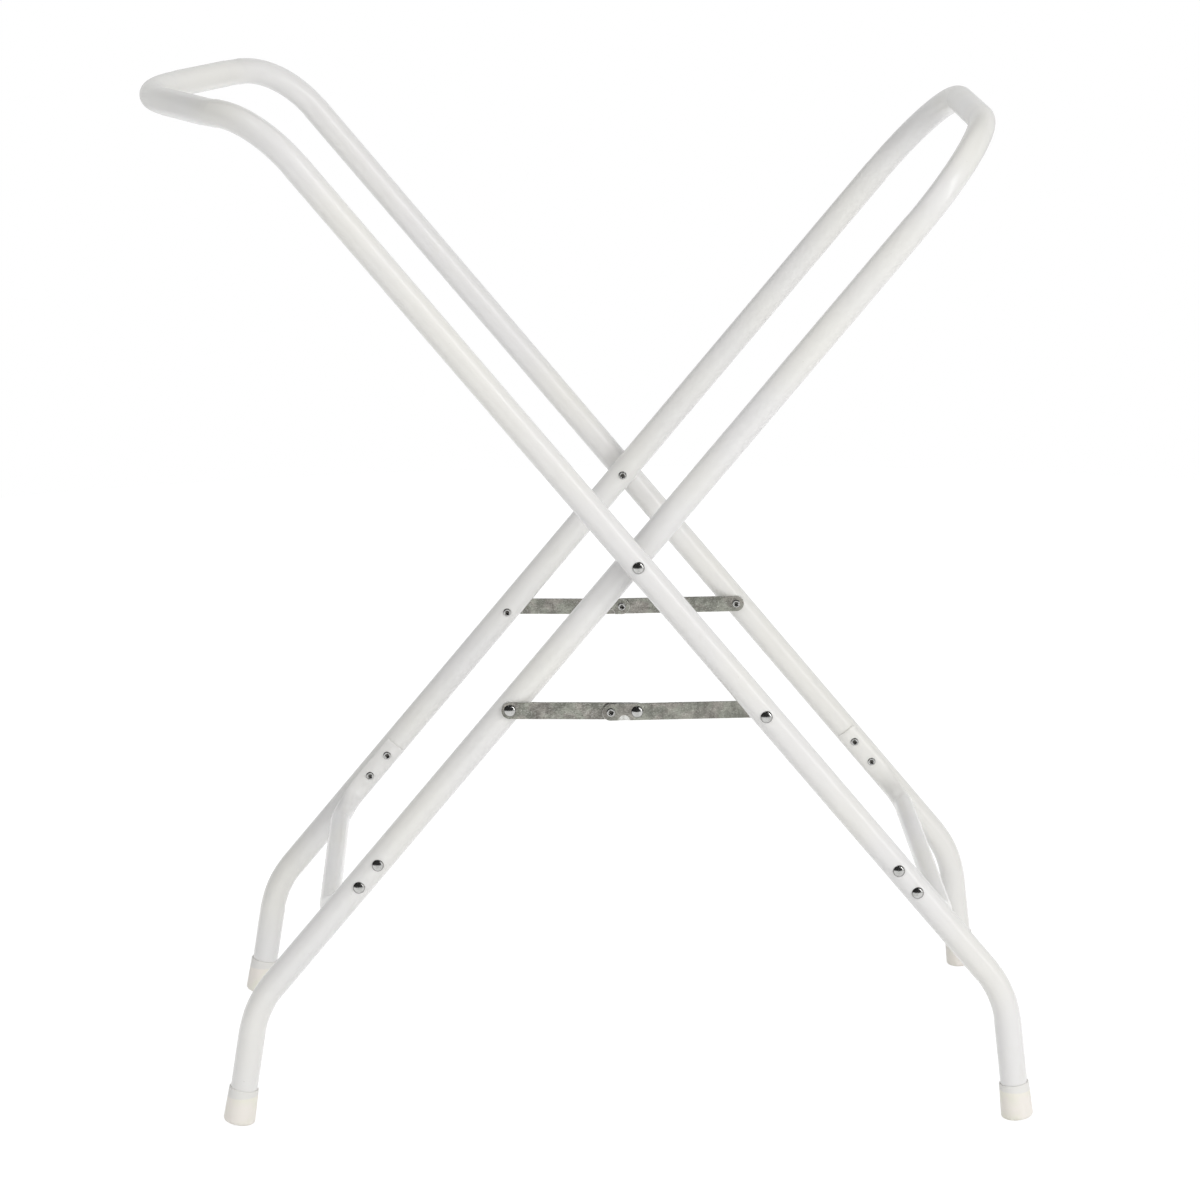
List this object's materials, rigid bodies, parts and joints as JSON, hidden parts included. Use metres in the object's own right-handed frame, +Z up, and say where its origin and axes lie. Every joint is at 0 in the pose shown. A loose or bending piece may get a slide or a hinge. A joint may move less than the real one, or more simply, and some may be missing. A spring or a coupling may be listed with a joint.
{
  "type": "baby bath stand",
  "caption": "Folding stand that carries a baby bath: bent tube frames crossed like scissors, with flat folding side struts, low cross braces and capped feet.",
  "frame": {"origin": "on the floor, under the middle of the open stand's bounding box", "axes": "+Z up; +X towards the plain hoop of the inner frame, which is the right side of the picture; +Y to the back, along the pivots' line"},
  "size_m": [0.8071, 0.4702, 0.9529],
  "materials": {
    "white_enamel": "gloss stove enamel, warm white",
    "cream_cap": "smooth moulded, cream",
    "zinc_steel": "zinc plated strip, dull with scratches",
    "bright_rivet": "bright plated",
    "nylon": "natural nylon"
  },
  "bodies": {
    "outer_frame": {"outer_frame_tube": "white_enamel", "outer_cross_brace": "white_enamel", "outer_front_foot": "cream_cap", "outer_back_foot": "cream_cap", "front_pivot_rivet": "bright_rivet", "back_pivot_rivet": "bright_rivet", "front_outer_saddle": "nylon", "back_outer_saddle": "nylon", "front_outer_strut_rivet": "bright_rivet", "back_outer_strut_rivet": "bright_rivet", "front_outer_strut_washer": "nylon", "back_outer_strut_washer": "nylon", "outer_brace_rivets": "bright_rivet"},
    "inner_frame": {"inner_frame_tube": "white_enamel", "inner_cross_brace": "white_enamel", "inner_front_foot": "cream_cap", "inner_back_foot": "cream_cap", "front_inner_saddle": "nylon", "back_inner_saddle": "nylon", "front_inner_strut_rivet": "bright_rivet", "back_inner_strut_rivet": "bright_rivet", "front_inner_strut_washer": "nylon", "back_inner_strut_washer": "nylon", "inner_brace_rivets": "bright_rivet"},
    "front_outer_bar": {"front_outer_strut": "zinc_steel", "front_knee_rivet_head": "bright_rivet", "front_snap_stud": "bright_rivet"},
    "front_inner_bar": {"front_inner_strut": "zinc_steel", "front_knee_rivet_tail": "bright_rivet"},
    "back_outer_bar": {"back_outer_strut": "zinc_steel", "back_knee_rivet_head": "bright_rivet", "back_snap_stud": "bright_rivet"},
    "back_inner_bar": {"back_inner_strut": "zinc_steel", "back_knee_rivet_tail": "bright_rivet"}
  },
  "joints": [
    {"name": "fold", "type": "hinge", "parent": "outer_frame", "child": "inner_frame", "pos_m": [0.04278, 0, 0.534], "axis": [0, -1, 0], "range_deg": [0, 74]},
    {"name": "front_outer_bar_swing", "type": "hinge", "parent": "outer_frame", "child": "front_outer_bar", "pos_m": [0.15669, 0, 0.39334], "axis": [0, -1, 0], "range_deg": [0, 122]},
    {"name": "front_inner_bar_swing", "type": "hinge", "parent": "inner_frame", "child": "front_inner_bar", "pos_m": [-0.07477, 0, 0.39637], "axis": [0, 1, 0], "range_deg": [0, 122]},
    {"name": "back_outer_bar_swing", "type": "hinge", "parent": "outer_frame", "child": "back_outer_bar", "pos_m": [0.15669, 0, 0.39334], "axis": [0, -1, 0], "range_deg": [0, 122]},
    {"name": "back_inner_bar_swing", "type": "hinge", "parent": "inner_frame", "child": "back_inner_bar", "pos_m": [-0.07477, 0, 0.39637], "axis": [0, 1, 0], "range_deg": [0, 122]}
  ],
  "couplings": [
    {"joint": "front_outer_bar_swing", "follows": "fold", "ratio": 1.648},
    {"joint": "front_inner_bar_swing", "follows": "fold", "ratio": 1.648},
    {"joint": "back_outer_bar_swing", "follows": "fold", "ratio": 1.648},
    {"joint": "back_inner_bar_swing", "follows": "fold", "ratio": 1.648}
  ]
}
